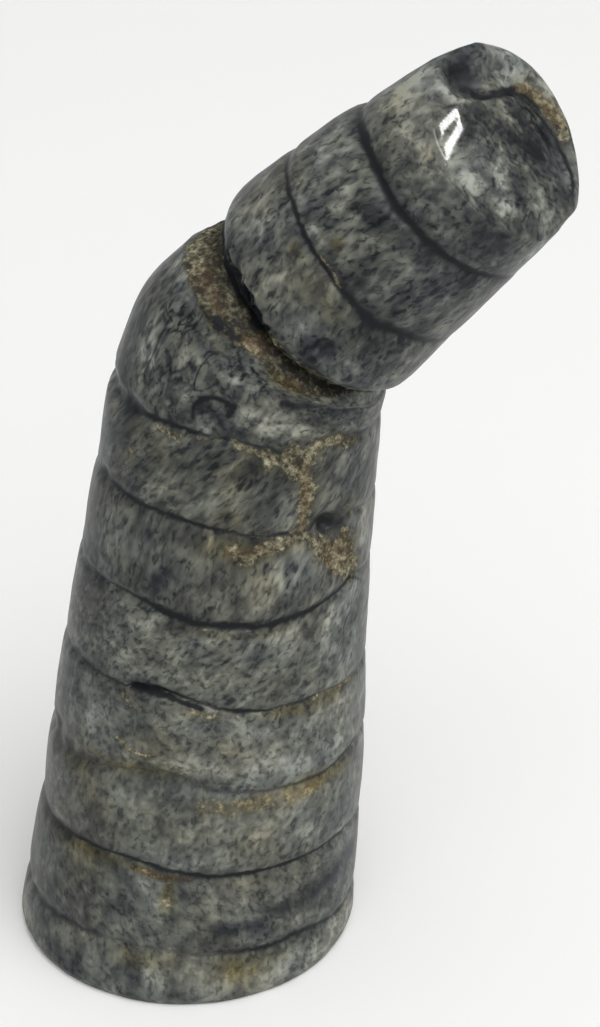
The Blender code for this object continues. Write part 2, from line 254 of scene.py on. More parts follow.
# The sutures. Each is the edge of a wall between two chambers, a dark line in a shallow groove.
# It wanders off its ring. Each course gives, at degrees around: how far towards the tip in mm,
# the line's half width in mm, and how dark it is.
GROOVE_DEPTH = 0.42
GROOVE_WIDTH = 0.85
CHAMBER_BULGE = 0.2
COURSES = (
    ((60, 0.2, 0.5, 0.7), (130, 0.1, 0.6, 0.6), (198, -0.5, 0.7, 0.8), (216, -0.3, 0.8, 0.9),
     (240, 0.0, 0.6, 0.45), (258, 0.0, 0.5, 0.4), (275, -0.4, 0.45, 0.5), (296, -0.5, 0.55, 0.95),
     (310, 0.0, 0.5, 0.85), (337, -1.0, 0.6, 0.8)),
    ((60, 0.3, 0.4, 0.8), (130, 0.2, 0.35, 0.9), (198, -0.8, 0.4, 0.9), (227, -0.2, 0.4, 1),
     (242, 0.3, 0.38, 0.95), (255, -0.2, 0.42, 0.9), (274, -0.7, 0.5, 1), (286, -0.5, 0.5, 1),
     (300, -0.2, 0.38, 1), (320, 0.3, 0.32, 0.9), (335, 0.5, 0.32, 0.8), (354, -0.5, 0.4, 0.7)),
    ((60, 0.2, 0.4, 0.7), (130, -0.4, 0.4, 0.8), (195, -1.9, 0.9, 0.6), (222, -1.0, 1.0, 0.55),
     (235, 0.0, 0.7, 0.4), (244, 0.9, 0.5, 0.35), (254, 1.4, 0.5, 0.4), (260, 1.2, 0.7, 0.5),
     (268, 0.1, 0.8, 0.55), (282, -0.7, 0.7, 0.55), (300, -0.6, 0.5, 0.65), (318, 0.0, 0.35, 0.75),
     (338, 1.7, 0.3, 0.85)),
    ((60, 0.3, 0.35, 0.8), (130, -0.4, 0.4, 0.8), (184, -1.3, 0.4, 0.7), (205, -0.3, 0.5, 0.8),
     (225, -0.2, 0.4, 0.7), (234, -0.1, 0.35, 0.8), (239, 0.9, 0.6, 1.0), (246, 1.2, 0.7, 1.1),
     (255, 1.0, 0.5, 0.9), (263, 0.5, 0.4, 0.8), (270, -0.3, 0.45, 0.7), (278, -0.8, 0.5, 1),
     (290, -0.8, 0.4, 0.95), (302, -0.5, 0.38, 1), (313, 0.0, 0.32, 0.85), (338, -0.7, 0.3, 0.7)),
    ((60, 0.0, 0.5, 0.9), (130, -0.6, 0.4, 0.8), (192, -1.8, 0.25, 0.5), (217, -0.3, 0.28, 0.55),
     (230, 0.1, 0.4, 0.8), (240, -0.1, 0.65, 1), (248, -0.4, 0.8, 1.1), (258, -0.7, 0.75, 1.1),
     (278, -0.8, 0.72, 1.1), (291, -0.7, 0.7, 1), (301, -0.3, 0.6, 1), (314, 0.2, 0.5, 0.95),
     (330, 1.2, 0.35, 0.9), (352, -0.6, 0.35, 0.8)),
    ((60, 0.2, 0.4, 0.7), (130, -0.8, 0.3, 0.7), (178, -1.6, 0.3, 0.6), (197, -0.4, 0.4, 0.85),
     (214, -0.4, 0.4, 0.95), (228, -0.3, 0.3, 0.95), (240, -0.1, 0.35, 0.85), (248, 0.0, 0.55, 1),
     (257, 0.0, 0.45, 0.95), (266, -0.2, 0.33, 0.8), (280, -0.4, 0.28, 0.75), (292, -0.2, 0.33, 1),
     (303, -0.2, 0.3, 0.8), (317, 1.0, 0.25, 0.5), (345, -0.6, 0.3, 0.5)),
    ((60, 0.0, 0.5, 0.7), (130, -0.3, 0.5, 0.8), (190, -0.4, 1.1, 0.9), (212, -0.5, 1.2, 1),
     (222, -0.3, 0.8, 1), (229, -0.1, 0.45, 1), (240, 0.0, 0.4, 1), (258, 0.2, 0.35, 0.9),
     (270, 0.2, 0.4, 0.9), (284, -0.5, 0.5, 0.9), (293, -0.6, 0.4, 0.6), (305, 1.4, 0.4, 0.45),
     (325, 0.4, 0.5, 0.7)),
    ((60, 0.0, 0.5, 0.8), (130, -0.4, 0.5, 0.9), (171, -1.0, 0.5, 0.8), (205, -0.1, 0.5, 0.95),
     (235, 0.0, 0.4, 1), (258, 0.0, 0.4, 1), (268, -0.1, 0.7, 1), (280, -0.3, 1.0, 1.05),
     (295, 0.6, 0.9, 1), (318, 0.8, 0.6, 0.85)),
    ((60, 0.0, 0.5, 0.9), (130, -0.5, 0.6, 0.9), (165, -0.9, 0.7, 0.9), (200, 0.1, 0.78, 1.1),
     (222, 0.1, 0.85, 1.1), (245, -0.2, 0.78, 1.05), (262, 0.0, 0.74, 1.0), (296, 0.3, 0.62, 0.95),
     (315, 0.9, 0.48, 0.85), (335, 0.8, 0.42, 0.8)),
)
# Painted shade: a soft darkening of the stone in and beside each wall's groove.
GROOVE_PAINTED_SHADE = 0.4            # how much the stone darkens beside a wall
GROOVE_PAINTED_SHADE_WIDTH = 1.3
RAG, RAG_SIZE = 0.12, 0.7   # mm, how far a line's edges stray, and over what length
SWELL_SIZE = 1.7            # mm, the length over which a line swells and thins
SWELLS = (0.6, 0.25, 0.08)  # by how much, up to the break and at the two sutures above it
# The upper part is ground straight underneath, where its grooves all but fade out.
STRAIGHT_ANGLE = 333
STRAIGHT_REACH = 27         # degrees to each side
STRAIGHT_SHARE = 0.85
straight = STRAIGHT_SHARE * np.exp(-(turn_from(STRAIGHT_ANGLE) / STRAIGHT_REACH) ** 2)
tone = np.zeros(count)
ink = np.zeros(count)
raised = np.zeros(count)
chamber = np.zeros(count, int)
for place, course in zip(suture_places, COURSES):
    turns, *columns = np.array(course).T
    off, width, dark = (np.interp(degrees, turns, column, period=360) for column in columns)
    apart = along + 0.4 * stray_along + RAG * lumps(RAG_SIZE, 20 + place) - place - off
    swell = np.interp(place, suture_places[-3:], SWELLS)
    width *= np.clip(1 - 0.25 * swell + swell * lumps(SWELL_SIZE, 50 + place), 0.4, 1.3)
    ink = np.maximum(ink, dark * np.exp(-(apart / width) ** 2) * on_side)
    groove = (0.4 + width) * np.exp(-(apart / (GROOVE_WIDTH * (0.5 + width))) ** 2)
    raised -= GROOVE_DEPTH * (1 - straight * (place > places[CREVICE])) * groove
    # Painted shade in and beside the groove.
    tone -= GROOVE_PAINTED_SHADE * dark * np.exp(-(apart / GROOVE_PAINTED_SHADE_WIDTH) ** 2) * on_side
    chamber += apart > 0
# Each chamber swells a little between its walls, but for the broken one.
for low, high in zip(suture_places, suture_places[1:]):
    if low != places[SUTURE_7]:
        within = np.clip((along - low) / (high - low), 0, 1)
        raised += CHAMBER_BULGE * np.sin(np.pi * within) * (1 - straight)

# Bumps and pits, most of them on the solid too: mm along, degrees around, half length, half
# width, height.
BUMPS = (
    (65.4, 311, 1.2, 1.6, -1.3),        # open hole in the cracked corner
    (66.3, 306, 1.6, 2.6, -0.4),
    (61.6, 315, 2.4, 2.4, -0.7),        # three-cornered flake lost below it
    (67.6, 321, 1.2, 1.8, 0.35),        # the chip beside it, standing proud
    (69.5, 298, 4.0, 1.1, -0.4),        # forked crack
    (74.0, 285, 1.0, 3.0, -0.4),
    (75.0, 304, 1.2, 2.6, -0.35),
    (41.7, 240, 0.8, 1.7, -0.6),        # hollow along the fourth suture
    (41.7, 249, 0.8, 2.2, -0.6),
    (14.9, 261, 1.6, 1.5, -0.45),       # rusty pit
    (30.5, 246, 0.9, 4.5, -0.4),        # chipped third suture
    (29.0, 196, 1.2, 2.5, -0.5),
    (91.0, 216, 0.9, 2.0, -0.8),        # crevice under the lip
    (90.8, 228, 1.2, 2.6, -1.4),
    (90.3, 240, 1.1, 2.6, -1.4),
    (90.2, 249, 0.8, 1.6, -0.8),
    (93.0, 219, 0.7, 0.7, -0.8),        # chips out of the lip
    (92.8, 230, 0.8, 1.0, -1.0),
    (92.4, 241, 0.7, 0.7, -0.8),
    (88.2, 251, 1.0, 1.3, 0.7),         # lump of sediment
    (87.3, 237, 0.9, 1.6, -0.4),
    (86.9, 221, 0.5, 1.8, 0.35),
    (90.0, 180, 1.6, 3.5, -0.6),
    (86.6, 152, 2.4, 6.0, -0.7),        # shoulder worn down at the back
    (3.0, 128, 2.0, 4.0, -0.6),
    (36.0, 75, 2.6, 3.4, -0.5),
    (61.0, 110, 1.5, 3.8, -0.45),
    (107.5, 96, 1.8, 2.6, -0.4),
    (124, 50, 5, 9, -0.6),              # rim of the end, lower at the back
)
raised += 0.1 * lumps(6.0, 12) + 0.05 * lumps(2.5, 13)          # ground a little uneven
for place, around, half_length, half_width, height in BUMPS:
    raised += height * patch(place, around, half_length, half_width)

# The end's edge is left as a sharp corner at its low side.
END_CORNER = 1.3            # mm
END_CORNER_ANGLE = 358
END_CORNER_REACH = 20
corner = END_CORNER * np.exp(-(turn_from(END_CORNER_ANGLE) / END_CORNER_REACH) ** 2)
raised += corner * np.clip((along - places[TIP_EDGE]) / (length - places[TIP_EDGE]), 0, 1)

# The break. The upper part has slipped back and down on the shoulder below it, and brown sediment
# has set in the gap. Its lower edge wanders: degrees around, mm along.
SEDIMENT_EDGE = (
    (40, 87.5), (90, 87.0), (130, 88.0), (173, 88.0), (193, 86.9), (206, 86.7), (217, 86.3),
    (229, 85.8), (238, 86.0), (246, 86.5), (255, 87.2), (264, 86.4), (274, 85.5), (287, 86.3),
    (310, 88.6), (350, 88.5),
)
SEDIMENT_TOP = 93.0
SEDIMENT_FADE = 0.7         # mm over which it thins out at both edges
SEDIMENT_ROUGHNESS = 0.45   # mm
edge = np.interp(degrees, *np.array(SEDIMENT_EDGE).T, period=360)
sediment = np.clip((along + stray_along - edge) / SEDIMENT_FADE, 0, 1) * on_side
sediment *= np.clip((SEDIMENT_TOP - along) / SEDIMENT_FADE, 0, 1)
clods = 0.6 * lumps(3.2, 7) + 0.4 * lumps(1.2, 8) + 0.3 * lumps(0.5, 9)
raised += SEDIMENT_ROUGHNESS * sediment * clods

# The lip above the crevice is chipped all along its front.
CHIP_SIZE = 0.9             # mm
CHIP_DEPTH = 0.8            # mm
chips = np.clip((lumps(CHIP_SIZE, 15) - 0.05) / 0.12, 0, 1)
chips *= stroke(0.9, (93.2, 208), (93.2, 219), (93.0, 228), (92.5, 240), (91.9, 249))
raised -= CHIP_DEPTH * chips

# Crusts: sediment that has set in the cracks and along the walls, with a brown stain beside it.
# Each: strength, half width in mm, then its course, as mm along and degrees around.
CRUSTS = (
    (1.15, 0.95, (73.4, 293), (72.6, 295), (71.2, 298), (69.2, 299), (67.4, 299), (65.2, 299)),
    (1.15, 1.4, (74.2, 290), (72.9, 293), (73.6, 296)),
    (1.0, 0.85, (73.4, 287), (73.8, 282), (74.2, 278)),
    (0.85, 0.5, (74.2, 278), (74.8, 271), (75.2, 264)),
    (1.05, 0.85, (74.0, 295), (75.3, 300), (75.8, 306), (75.4, 313), (75.1, 322)),
    (0.85, 0.4, (74.8, 232), (74.4, 237), (74.2, 242)),
    (0.7, 0.4, (75.2, 250), (75.4, 257)),
    (0.5, 0.5, (70.1, 218), (70.1, 220)),
    (0.9, 0.7, (65.4, 297), (64.3, 290), (63.7, 281), (62.9, 275), (63.6, 270)),
    (1.1, 0.55, (64.8, 301), (62.6, 307), (60.5, 315), (58.6, 323), (56.6, 331)),
    (1.1, 1.3, (63.2, 309), (62.0, 317), (60.2, 322)),
    (1.0, 1.0, (63.6, 320), (61.9, 325), (59.7, 327), (57.5, 331)),
    (0.6, 0.35, (66.4, 315), (67.6, 321), (66.8, 333)),
    (0.5, 0.35, (54.4, 262), (54.4, 268)),
    (0.5, 0.35, (54.4, 280), (54.4, 285)),
    (0.8, 0.4, (40.6, 233), (39.4, 236), (38.4, 240)),
    (0.8, 0.35, (40.2, 261), (39.9, 267), (39.8, 274)),
    (0.5, 0.5, (40.3, 293), (40.5, 303), (41.0, 315), (40.3, 336)),
    (0.8, 0.3, (33.4, 235), (32.1, 240), (31.8, 246), (32.4, 250)),
    (0.7, 0.25, (32.1, 254), (30.9, 258), (29.9, 264)),
    (0.22, 1.0, (26.3, 274), (26.4, 284), (26.6, 296), (27.3, 308)),
    (0.45, 0.5, (16.8, 250), (16.4, 257), (16.5, 264)),
    (0.85, 0.4, (16.5, 260), (14, 260), (12.2, 261)),
    (0.75, 0.2, (103.0, 237), (103.0, 249), (102.9, 256)),
    (0.9, 0.8, (89.2, 166), (87.9, 181), (87.9, 190), (88.2, 203)),
    (0.9, 1.0, (88.3, 248), (88.3, 252)),
    (0.8, 0.2, (88.2, 235), (88.2, 237)),
    (0.8, 0.2, (86.2, 230), (86.1, 236)),
    (0.8, 0.5, (66, 100), (64.5, 112), (65, 128), (64, 140)),
    (0.7, 0.8, (75, 60), (72, 66), (67, 64)),
    (0.7, 0.6, (29, 85), (27.5, 100), (28.5, 118)),
    (0.6, 0.4, (41, 150), (40, 163), (40.5, 176)),
    (0.7, 0.9, (16.0, 144), (16.0, 156)),
    (0.7, 0.45, (102.6, 70), (102.3, 95), (102.8, 120)),
    (0.9, 1.1, (88.2, 111), (88.2, 125)),
)
TIP_CRUST = ((0.63, 99), (0.67, 90), (0.71, 79), (0.75, 69), (0.78, 60), (0.81, 50), (0.83, 41))
HALO = 1.9                  # how much wider the brown stain beside a crust is
HALO_STRENGTH = 0.6
STAINED_BANDS = (           # brown stains of their own, below the third wall and the second
    (0.62, 1.8, (26.4, 270), (26.5, 284), (26.6, 296), (27.4, 313)),
    (0.85, 0.6, (16.9, 247), (16.4, 257), (16.6, 267)),
)
CRUST_ROUGHNESS = 0.12      # mm
crust = 1.2 * end_stroke(0.65, *TIP_CRUST)
crust = np.maximum(crust, 0.8 * end_stroke(0.35, (0.5, 158), (0.49, 148)))
halo = HALO_STRENGTH * end_stroke(0.8 * HALO, *TIP_CRUST)
for strength, width, *course in CRUSTS:
    crust = np.maximum(crust, strength * stroke(width, *course))
    halo = np.maximum(halo, HALO_STRENGTH * strength * stroke(width * HALO, *course))
for strength, width, *course in STAINED_BANDS:
    halo = np.maximum(halo, strength * stroke(width, *course))
ink *= 1 - 0.85 * np.clip(crust, 0, 1)
raised += CRUST_ROUGHNESS * np.clip(crust + sediment, 0, 1) * lumps(0.9, 10) * on_side

# How brown the sediment is, from 0 pale to 1 rust: streaks, as strength, half width and course,
# and spots, as mm along, degrees around, half length, half width, strength.
RUST_STREAKS = (
    (0.5, 0.7, (88.5, 205), (88.4, 214), (88.2, 223), (88.0, 230)),
    (0.15, 1.0, (89.0, 180), (89.4, 196), (89.2, 206)),
    (0.5, 0.6, (63.4, 270), (63.8, 282)),
    (0.6, 0.6, (72.6, 295), (69.2, 299), (66.0, 299)),
    (0.7, 0.6, (16.7, 250), (16.4, 259), (16.5, 266)),
    (0.2, 1.0, (27.0, 280), (28.0, 330)),
    (0.5, 0.9, (40.3, 293), (40.3, 336)),
)
RUST_SPOTS = ((87.1, 277, 0.8, 2.2, 0.35), (88.3, 250, 1.2, 1.6, 0.8), (61.5, 317, 2.2, 3.0, 0.5),
              (29.0, 110, 2.0, 5.0, 0.5), (65.0, 120, 1.0, 5.0, 0.5))
rust = 0.6 * end_stroke(0.8, (0.63, 97), (0.72, 77), (0.8, 53))
rust += sum(strength * stroke(width, *course) for strength, width, *course in RUST_STREAKS)
rust += sum(strength * patch(*where) for *where, strength in RUST_SPOTS)
rust = np.clip(rust, 0, 1)

# Dark calcite in cracks and thin veins, and painted shade in the crevice under the lip, the hollow
# along the fourth wall, and on the worn end in the pit and the groove under the rim. Each: how
# dark, half width in mm, course.
CRACKS_AND_SHADE = (
    (1.1, 0.45, (76.9, 245), (78.6, 244.5), (79.9, 248), (80.3, 255), (79.7, 260), (78.5, 259)),
    (0.9, 0.32, (86.6, 247), (85, 253), (84.2, 258), (83.2, 259)),
    (0.9, 0.32, (85.6, 258), (84.6, 268), (82.8, 268)),
    (0.8, 0.28, (86.0, 251), (84.2, 254), (83.0, 254)),
    (0.9, 0.3, (57.4, 326), (56.2, 333), (53.5, 343), (54.5, 3)),
    (1.2, 0.75, (41.7, 238), (41.6, 243), (41.5, 248)),
    (1.15, 0.42, (41.4, 248), (41.2, 256), (40.7, 265)),
    (0.5, 0.2, (108, 286), (110.5, 288), (111.5, 300), (112.5, 313)),
    (0.45, 0.2, (108, 288), (105.5, 294), (104, 297)),
    (0.9, 0.6, (91.2, 172), (91.8, 190), (92.0, 204), (91.6, 214)),
    (1.5, 0.85, (91.6, 207), (91.0, 214), (90.8, 221), (90.8, 230), (90.5, 239), (90.2, 246)),
    (1.4, 0.9, (92.2, 212), (92.5, 219), (92.4, 228), (92.0, 236), (91.6, 243)),
    (1.0, 0.6, (90.4, 246), (90.6, 252)),
    (0.7, 0.3, (90.7, 252), (90.6, 265), (90.5, 280), (90.6, 294), (91, 306)),
    (1.2, 0.75, (86.9, 231), (87.1, 236), (87.5, 242)),
    (0.8, 0.35, (88.4, 232), (87.6, 233), (86.6, 237)),
    (0.65, 1.1, (67.2, 302), (66.2, 308), (65.4, 316)),
    (0.6, 0.25, (77.5, 60), (73, 75), (66, 72)),
    (0.6, 0.3, (44, 130), (38, 121), (33, 124)),
    (0.6, 0.25, (98, 110), (94.5, 128), (93, 140)),
)
# On the worn end: painted shade in the groove under the rim and in the pit, and the dark eye ring
# and rim line.
END_CRACKS_AND_SHADE = (
    (1.3, 0.7, (0.52, 172), (0.46, 163), (0.41, 142), (0.47, 118), (0.57, 101)),
    (1.1, 0.42, (0.57, 101), (0.62, 88), (0.66, 72), (0.69, 55), (0.73, 38), (0.8, 24),
     (0.86, 12), (0.88, 358)),
    (0.8, 1.4, (0.88, 170), (0.78, 166), (0.64, 165), (0.58, 158)),
    (0.85, 0.4, (0.18, 92), (0.4, 86), (0.53, 78), (0.53, 68), (0.4, 60), (0.2, 56), (0.18, 92)),
    (0.6, 0.35, (0.97, 120), (0.96, 90), (0.94, 60), (0.94, 30)),
)
for dark, width, *course in CRACKS_AND_SHADE:
    ink = np.maximum(ink, dark * stroke(width, *course))
for dark, width, *course in END_CRACKS_AND_SHADE:
    ink = np.maximum(ink, dark * end_stroke(width, *course))
# Painted shade in the chips out of the lip, in a deeper chip and in the open hole of the cracked
# corner; a dark spot in the middle of the eye on the worn end.
ink = np.maximum.reduce([
    ink, 1.4 * chips, 1.4 * patch(93.2, 232.5, 0.6, 0.9), 1.3 * patch(65.2, 312, 1.0, 1.3),
    0.8 * end_patch(0.3, 76, 0.9),
])

# Pale specks in the black sliver at the break.
SPECK_SIZE = 0.45           # mm
specks = np.clip((lumps(SPECK_SIZE, 33) - 0.15) / 0.15, 0, 1)
ink -= 0.9 * specks * patch(87.1, 236, 1.0, 2.6)

# Tones: pale (+) and dark (-) clouds in the stone, mm along, degrees around, half sizes, strength.
TONES = (
    # first chamber and second
    (4, 224, 1.2, 1.5, 0.4), (2.5, 236, 1.2, 1.6, 0.4), (3, 261, 1, 1.6, 0.4),
    (2.5, 274, 1, 1.5, 0.4), (3, 303, 1, 2.2, 0.4), (4, 328, 1, 3, 0.5),
    (2.5, 220, 0.9, 1.2, -0.5), (1.5, 229, 1, 1.2, -0.5), (2.5, 252, 1.2, 2, -0.6),
    (1.5, 268, 1, 2, -0.4), (3.2, 315, 1, 3, -0.5), (3.5, 281, 0.8, 1.5, -0.3),
    (13, 222, 1, 1.2, -0.6), (10, 241, 1.2, 1.2, -0.6), (8.2, 281, 1.4, 1.8, -1.0),
    (8.7, 289, 1, 3, -0.7), (10.5, 303, 1.1, 3, -0.9), (11.8, 318, 1.6, 4, -1.3),
    (12.8, 336, 2, 4, -1.2), (12.5, 230, 1, 1.5, 0.3), (10, 271, 1.4, 2.2, 0.35),
    (13, 290, 1.3, 3, 0.35), (10.5, 255, 1.3, 2, 0.3), (8, 330, 1, 3, 0.3),
    # third chamber and fourth
    (25, 250, 1.4, 2.2, 0.3), (23, 262, 1.5, 2, 0.35), (25.5, 238, 1.2, 1.5, 0.25),
    (23.5, 211, 1.6, 3, 0.3), (20.5, 272, 1.4, 2.5, 0.3), (22, 288, 1.5, 2.5, 0.4),
    (21.5, 307, 1.4, 2.5, 0.35), (26.3, 263, 1, 1.2, -0.7), (21.5, 229, 1.4, 1.8, -0.4),
    (24, 312, 1.5, 2.2, -0.4), (21.5, 333, 2.2, 3, -0.7), (24.5, 254, 1.2, 1.2, -0.4),
    (20, 322, 1, 2, -0.4), (34.5, 240, 1.6, 1.6, -0.5), (38.5, 251, 1, 1.2, -0.4),
    (34.5, 288, 1, 1.6, -0.4), (38.2, 295, 1.2, 2, -0.45), (36.5, 275, 1.2, 1.4, -0.35),
    (35, 309, 1.2, 2, -0.4), (37, 256, 1.4, 1.6, 0.3), (31.5, 281, 1.2, 2.8, 0.4),
    (33, 291, 1.2, 1.4, 0.4), (34, 222, 2, 3, 0.25), (33, 265, 1.2, 2, 0.3),
    # fifth chamber and sixth
    (55, 225, 1.2, 2, 0.2), (47, 233, 1.5, 2.4, 0.25), (45.5, 257, 1.3, 3, 0.4),
    (52.3, 273, 1.3, 2.2, 0.35), (49.5, 277, 1.2, 1.5, 0.3), (53.3, 291, 1, 2.5, 0.3),
    (53.3, 315, 1.4, 2, 0.55), (51.5, 298, 1.2, 1.2, 0.3), (49, 283, 1.3, 1.5, -0.5),
    (51.8, 304, 1.3, 1.6, -0.5), (46, 297, 1.3, 2.4, -0.4), (50.5, 334, 2.8, 2.8, -0.8),
    (47, 249, 1.3, 1.8, -0.35), (46, 318, 1.2, 2, -0.3), (64, 226, 1.2, 2, 0.2),
    (62, 240, 1.2, 1.6, 0.3), (62.5, 250, 1, 1.5, 0.35), (60.3, 280, 2.2, 3.2, 0.6),
    (61.5, 289, 1.4, 1.2, 0.4), (63, 298, 1, 1.8, 0.5), (58.5, 232, 1, 1.6, -0.5),
    (58.7, 242, 1, 1.5, -0.5), (60, 251, 1.1, 2.2, -0.4), (59.2, 264, 1.4, 1.6, -0.5),
    (58.6, 303, 1.3, 2.2, -0.9), (61.5, 269, 1.2, 1.2, -0.35), (62.5, 337, 3.0, 2.2, 0.6),
    (60.5, 294, 1.2, 0.6, -0.4),
    # seventh chamber and the wedge above it
    (69, 242, 1.4, 1.8, 0.4), (70.3, 267, 2, 1.4, 0.55), (67.8, 252, 1, 2.2, 0.35),
    (69.8, 289, 1.2, 1.2, 0.4), (67.3, 263, 1, 1.2, -0.5), (71.8, 276, 1.6, 3, -0.5),
    (71.5, 233, 1.2, 1.8, -0.4), (72.5, 255, 1, 3, -0.35), (71.3, 316, 2.4, 3.2, -0.5),
    (67.3, 284, 1, 2, -0.3), (82.5, 220, 1, 2.5, 0.4), (80.2, 215, 1, 1.5, 0.3),
    (82.7, 256, 0.9, 1.2, 0.8), (82.1, 264, 1.2, 1, 0.8), (82.1, 275, 1.2, 1.6, 1.0),
    (79.7, 272, 1.2, 1.8, 1.1), (77.3, 265, 0.8, 2.4, 1.1), (77.2, 280, 1, 2.4, 1.2),
    (78.6, 290, 1, 2.2, 1.0), (79.5, 240, 1, 1.2, 0.4), (81.8, 284, 0.8, 2.2, -1.3),
    (82.7, 292, 0.9, 2.4, -1.1), (81.6, 306, 1, 3, -0.8), (86.2, 300, 1, 3, -0.5),
    (76.9, 203, 1, 3, -0.5), (86, 214, 1, 1.6, -0.2), (78.6, 252, 0.8, 1.2, -0.5),
    (84.6, 233, 1.2, 1.6, -0.3), (84.8, 268, 1, 1.2, 0.4), (76.4, 252, 0.8, 1.6, 0.5),
    (79.5, 318, 1.2, 3, -0.4), (83, 203, 1.2, 1.6, -0.3),
    # chambers of the upper part
    (98.3, 208, 1.3, 1.3, 0.6), (101, 216, 1, 0.8, 0.4), (98.2, 230, 1.4, 1.6, 0.5),
    (95.5, 220, 1.2, 1.2, 0.4), (96.2, 196, 1.2, 1.2, 0.5), (101, 261, 2, 4, -0.35),
    (99, 248, 1.5, 3, -0.3), (100.6, 263, 1.3, 1.8, 0.1), (97, 282, 0.8, 1, 0.8),
    (100.3, 183, 1.2, 1, -0.4), (94, 205, 1, 1.4, -0.4), (94.3, 245, 1, 1.4, -0.4),
    (96.9, 271, 1, 1.2, -1.0), (95.6, 265, 1.3, 1.6, -1.3), (93.9, 270, 1.3, 1.8, -1.4),
    (93.9, 259, 1.0, 1.4, -0.7), (98.6, 267, 0.9, 1, -0.6), (97.6, 276, 0.9, 1.2, -0.6),
    (94, 300, 1.4, 3, -0.3), (97.2, 247, 1.2, 1.2, -0.4), (99.5, 243, 1, 1, -0.3),
    (107.5, 201, 1.4, 1, 0.4), (111.2, 211, 1, 1, 0.4), (109, 222, 2, 1.2, 0.5),
    (110.3, 243, 1.5, 3, -0.9), (114.5, 240, 1.5, 4, -0.5), (114.5, 262, 1.5, 3, -0.5),
    (110, 253, 1, 1.4, 0.4), (108.5, 259, 1.2, 1, 0.3), (110, 267, 1, 1.2, 0.35),
    (107.5, 217, 1.4, 0.9, -0.6), (110.5, 230, 1.2, 1.4, -0.4), (111.3, 258, 0.8, 1.4, -0.5),
    (108, 264, 1, 1.2, -0.3), (110.7, 278, 1.4, 3, -0.5), (106.5, 240, 1.4, 1.2, -0.4),
    (107, 281, 2.2, 2.4, -0.4), (119, 184, 2.0, 2.4, 1.2), (121.5, 178, 1.6, 2.2, 1.0),
    (120.5, 212, 1.6, 2.4, 0.7), (119.8, 283, 2, 2.4, -0.6), (122, 226, 1.8, 1.4, 0.7),
    (119, 243, 1.4, 1.4, 0.3), (123, 247, 1.2, 1.4, 0.4), (116.7, 198, 1.4, 1.4, -0.4),
    (121, 213, 1.2, 1, -0.3), (117.5, 250, 1.3, 3, -0.5), (121, 274, 1.5, 2.2, -0.5),
    (117.5, 226, 1.5, 1, -0.4), (118.5, 290, 2, 3, -0.3),
    # the back
    (6, 60, 3, 5, -0.6), (11, 95, 2, 4, 0.4), (14, 160, 2, 3, -0.5), (23, 30, 2, 5, 0.4),
    (24, 120, 3, 4, -0.5), (34, 50, 3, 4, -0.5), (36, 100, 2, 4, 0.5), (37, 165, 2, 3, 0.4),
    (47, 20, 3, 4, 0.4), (50, 80, 2, 5, -0.6), (46, 140, 2, 4, 0.4), (60, 45, 2, 4, 0.5),
    (59, 90, 2, 3, -0.6), (62, 165, 2, 3, -0.4), (70, 25, 2, 4, -0.5), (69, 110, 2, 4, 0.5),
    (80, 50, 2, 4, 0.4), (83, 100, 2, 4, -0.5), (79, 150, 2, 3, 0.4), (97, 40, 2, 4, -0.4),
    (98, 90, 2, 3, 0.5), (99, 140, 2, 3, -0.4), (108, 30, 2, 3, 0.4), (109, 120, 2, 3, -0.5),
    (118, 60, 2, 3, 0.4), (119, 130, 2, 3, -0.4),
)
tone += sum(strength * patch(*where) for *where, strength in TONES)

# The same on the worn end: share of its radius, degrees around, size in mm, strength. The dark one
# over the pit is painted shade.
END_TONES = (
    (0.3, 20, 4.0, -0.9), (0.45, 205, 1.5, -1.0), (0.75, 162, 2.6, -0.9), (0.7, 100, 1.0, 1.2),
    (0.2, 242, 1.4, -0.9), (0.27, 352, 1.6, -0.9), (0.6, 44, 1.8, -0.9), (0.54, 302, 1.2, -0.9),
    (0.77, 259, 1.0, -0.7), (0.3, 110, 1.8, -0.6), (0.35, 262, 0.8, 0.8), (0.56, 270, 1.2, 1.2),
    (0.7, 282, 1.0, 0.8), (0.94, 262, 1.2, 1.0), (0.91, 287, 1.6, 0.9), (0.82, 312, 1.4, 0.5),
    (0.86, 333, 1.3, 0.4), (0.62, 350, 1.2, 0.4), (0.1, 150, 1.0, 0.7), (0.35, 150, 1.0, 0.5),
    (0.85, 110, 2.0, 1.0), (0.88, 78, 1.2, 1.3), (0.88, 56, 1.0, 1.1), (0.95, 130, 1.5, 0.7),
    (0.9, 5, 1.0, 0.3), (0.78, 344, 1.6, -0.5), (0.75, 303, 1.6, -1.0), (0.5, 250, 1.5, -0.5),
    (0.9, 230, 1.2, 0.6), (0.7, 228, 1.1, -0.8), (0.58, 215, 1.3, -0.7), (0.51, 152, 0.5, 1.8),
)
tone += 1.25 * sum(strength * end_patch(*where) for *where, strength in END_TONES)
pale_edge = np.clip((share - 0.8) / 0.1, 0, 1) * np.exp(-(turn_from(285) / 50) ** 2)
tone += (0.3 * pale_edge - 0.1) * on_end
tone += 0.9 * end_stroke(0.6, *TIP_CRUST)
# A pale line along the ridge below the pit: painted light on its crest.
tone += 1.1 * end_stroke(0.5, (0.96, 188), (0.89, 193), (0.8, 198), (0.7, 196), (0.58, 190))
